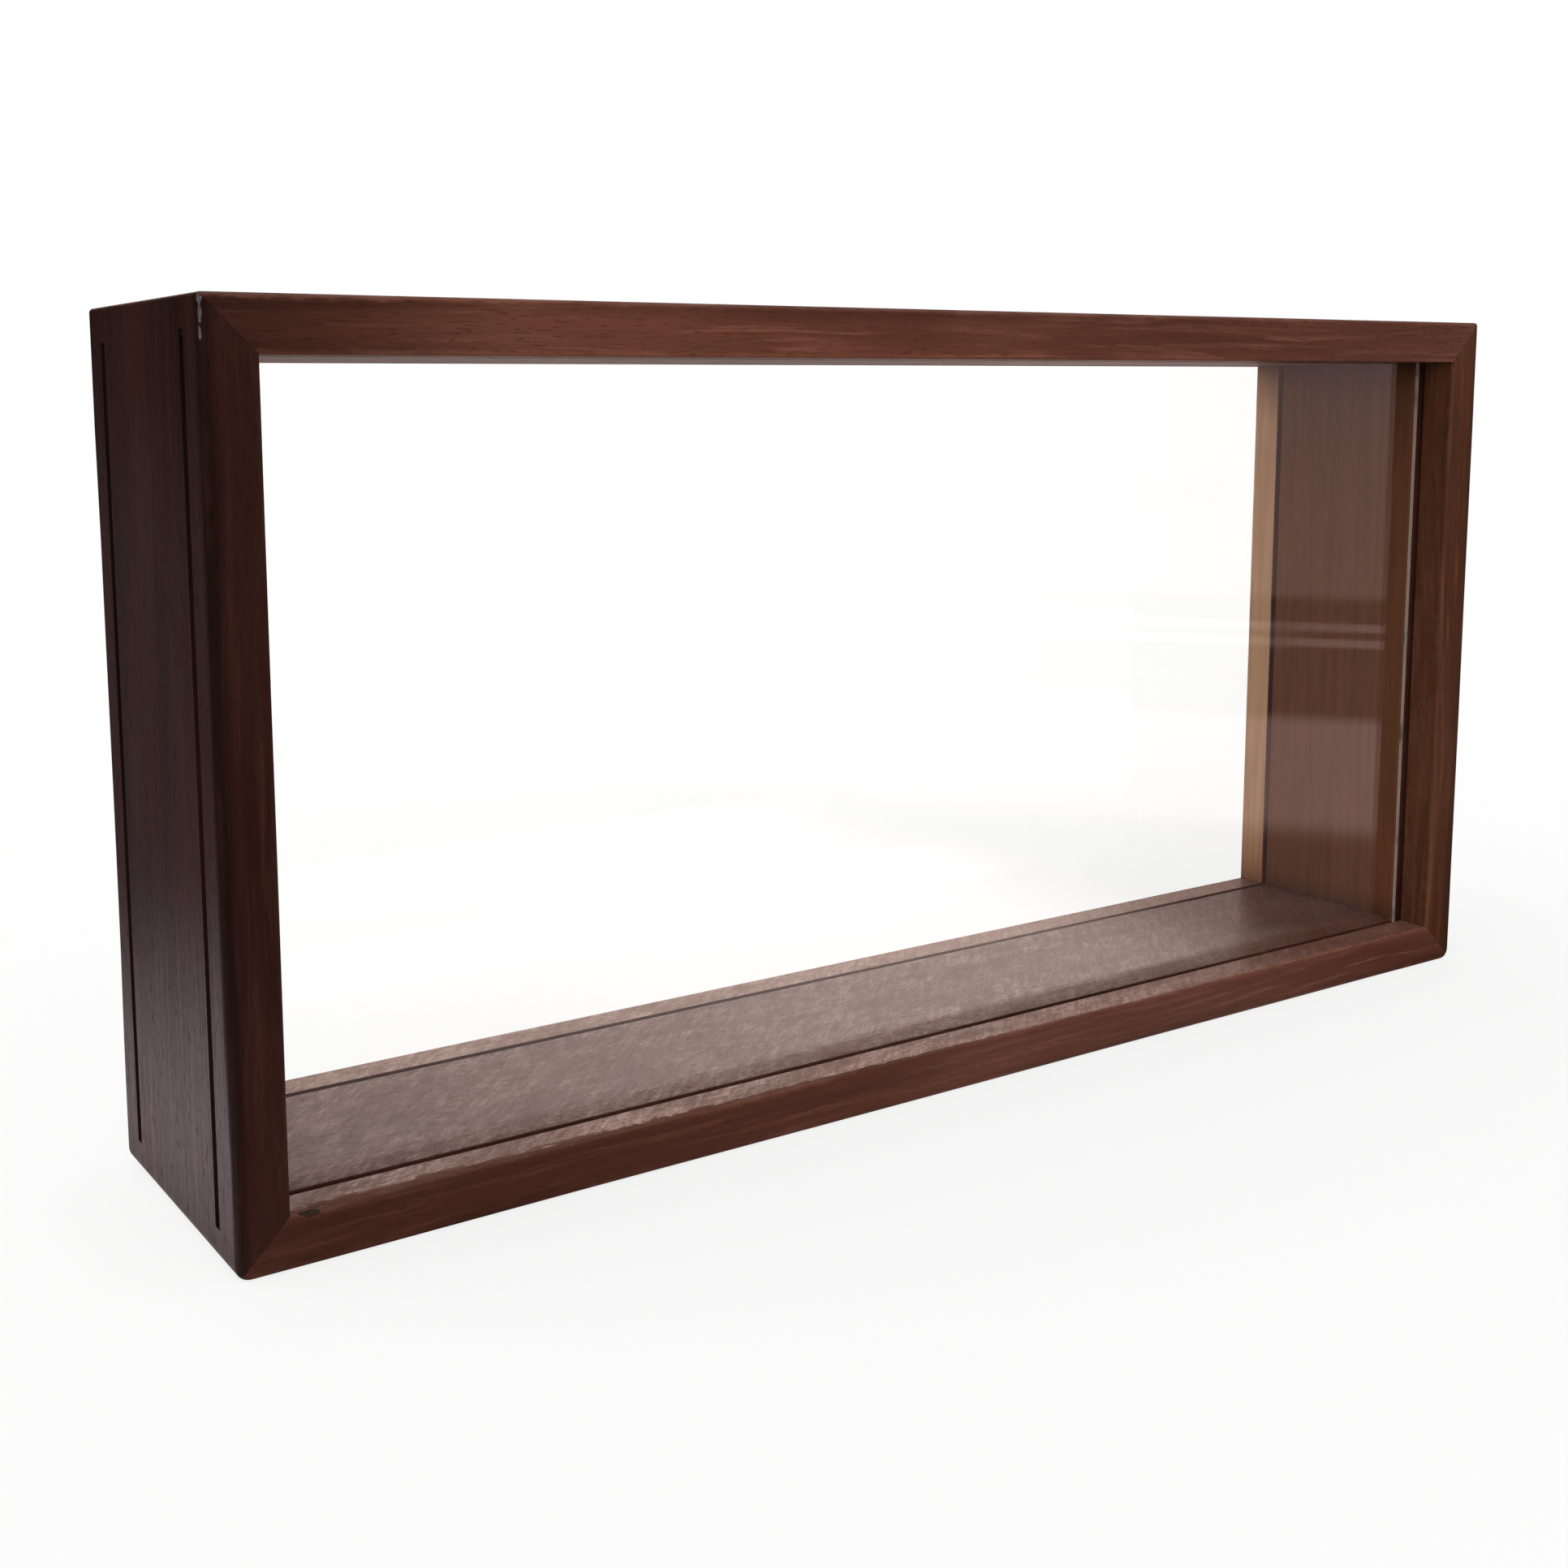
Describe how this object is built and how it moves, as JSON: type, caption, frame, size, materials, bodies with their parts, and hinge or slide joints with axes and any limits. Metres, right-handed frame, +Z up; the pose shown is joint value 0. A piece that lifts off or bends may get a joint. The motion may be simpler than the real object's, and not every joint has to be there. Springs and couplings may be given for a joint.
{
  "type": "shadow box frame",
  "caption": "Free-standing see-through shadow box: mitred dark-stained hardwood boards hold a clear glass pane front and rear, and each pane slides out through a slot in one end.",
  "frame": {"origin": "under the middle of the box, on the surface that it stands on", "axes": "+X along the length, from the slotted left end to the plain right end; +Y from the front to the rear; +Z up"},
  "size_m": [0.6, 0.114, 0.3],
  "materials": {
    "stained_wood": "dark reddish-brown stain under worn satin lacquer",
    "bare_wood": "sawn and glued, hidden in the joints",
    "glass": "clear polished sheet with ground edges"
  },
  "bodies": {
    "case": {"top_rail": "stained_wood", "bottom_rail": "stained_wood", "left_end": "stained_wood", "right_end": "stained_wood", "spline_top_left": "bare_wood", "spline_top_right": "bare_wood", "spline_bottom_left": "bare_wood", "spline_bottom_right": "bare_wood"},
    "front_pane": {"front_glass": "glass"},
    "rear_pane": {"rear_glass": "glass"}
  },
  "joints": [
    {"name": "front_pane_slide", "type": "slide", "parent": "case", "child": "front_pane", "axis": [-1, 0, 0], "range_m": [-0.009, 0.565]},
    {"name": "rear_pane_slide", "type": "slide", "parent": "case", "child": "rear_pane", "axis": [-1, 0, 0], "range_m": [-0.0005, 0.574]}
  ]
}
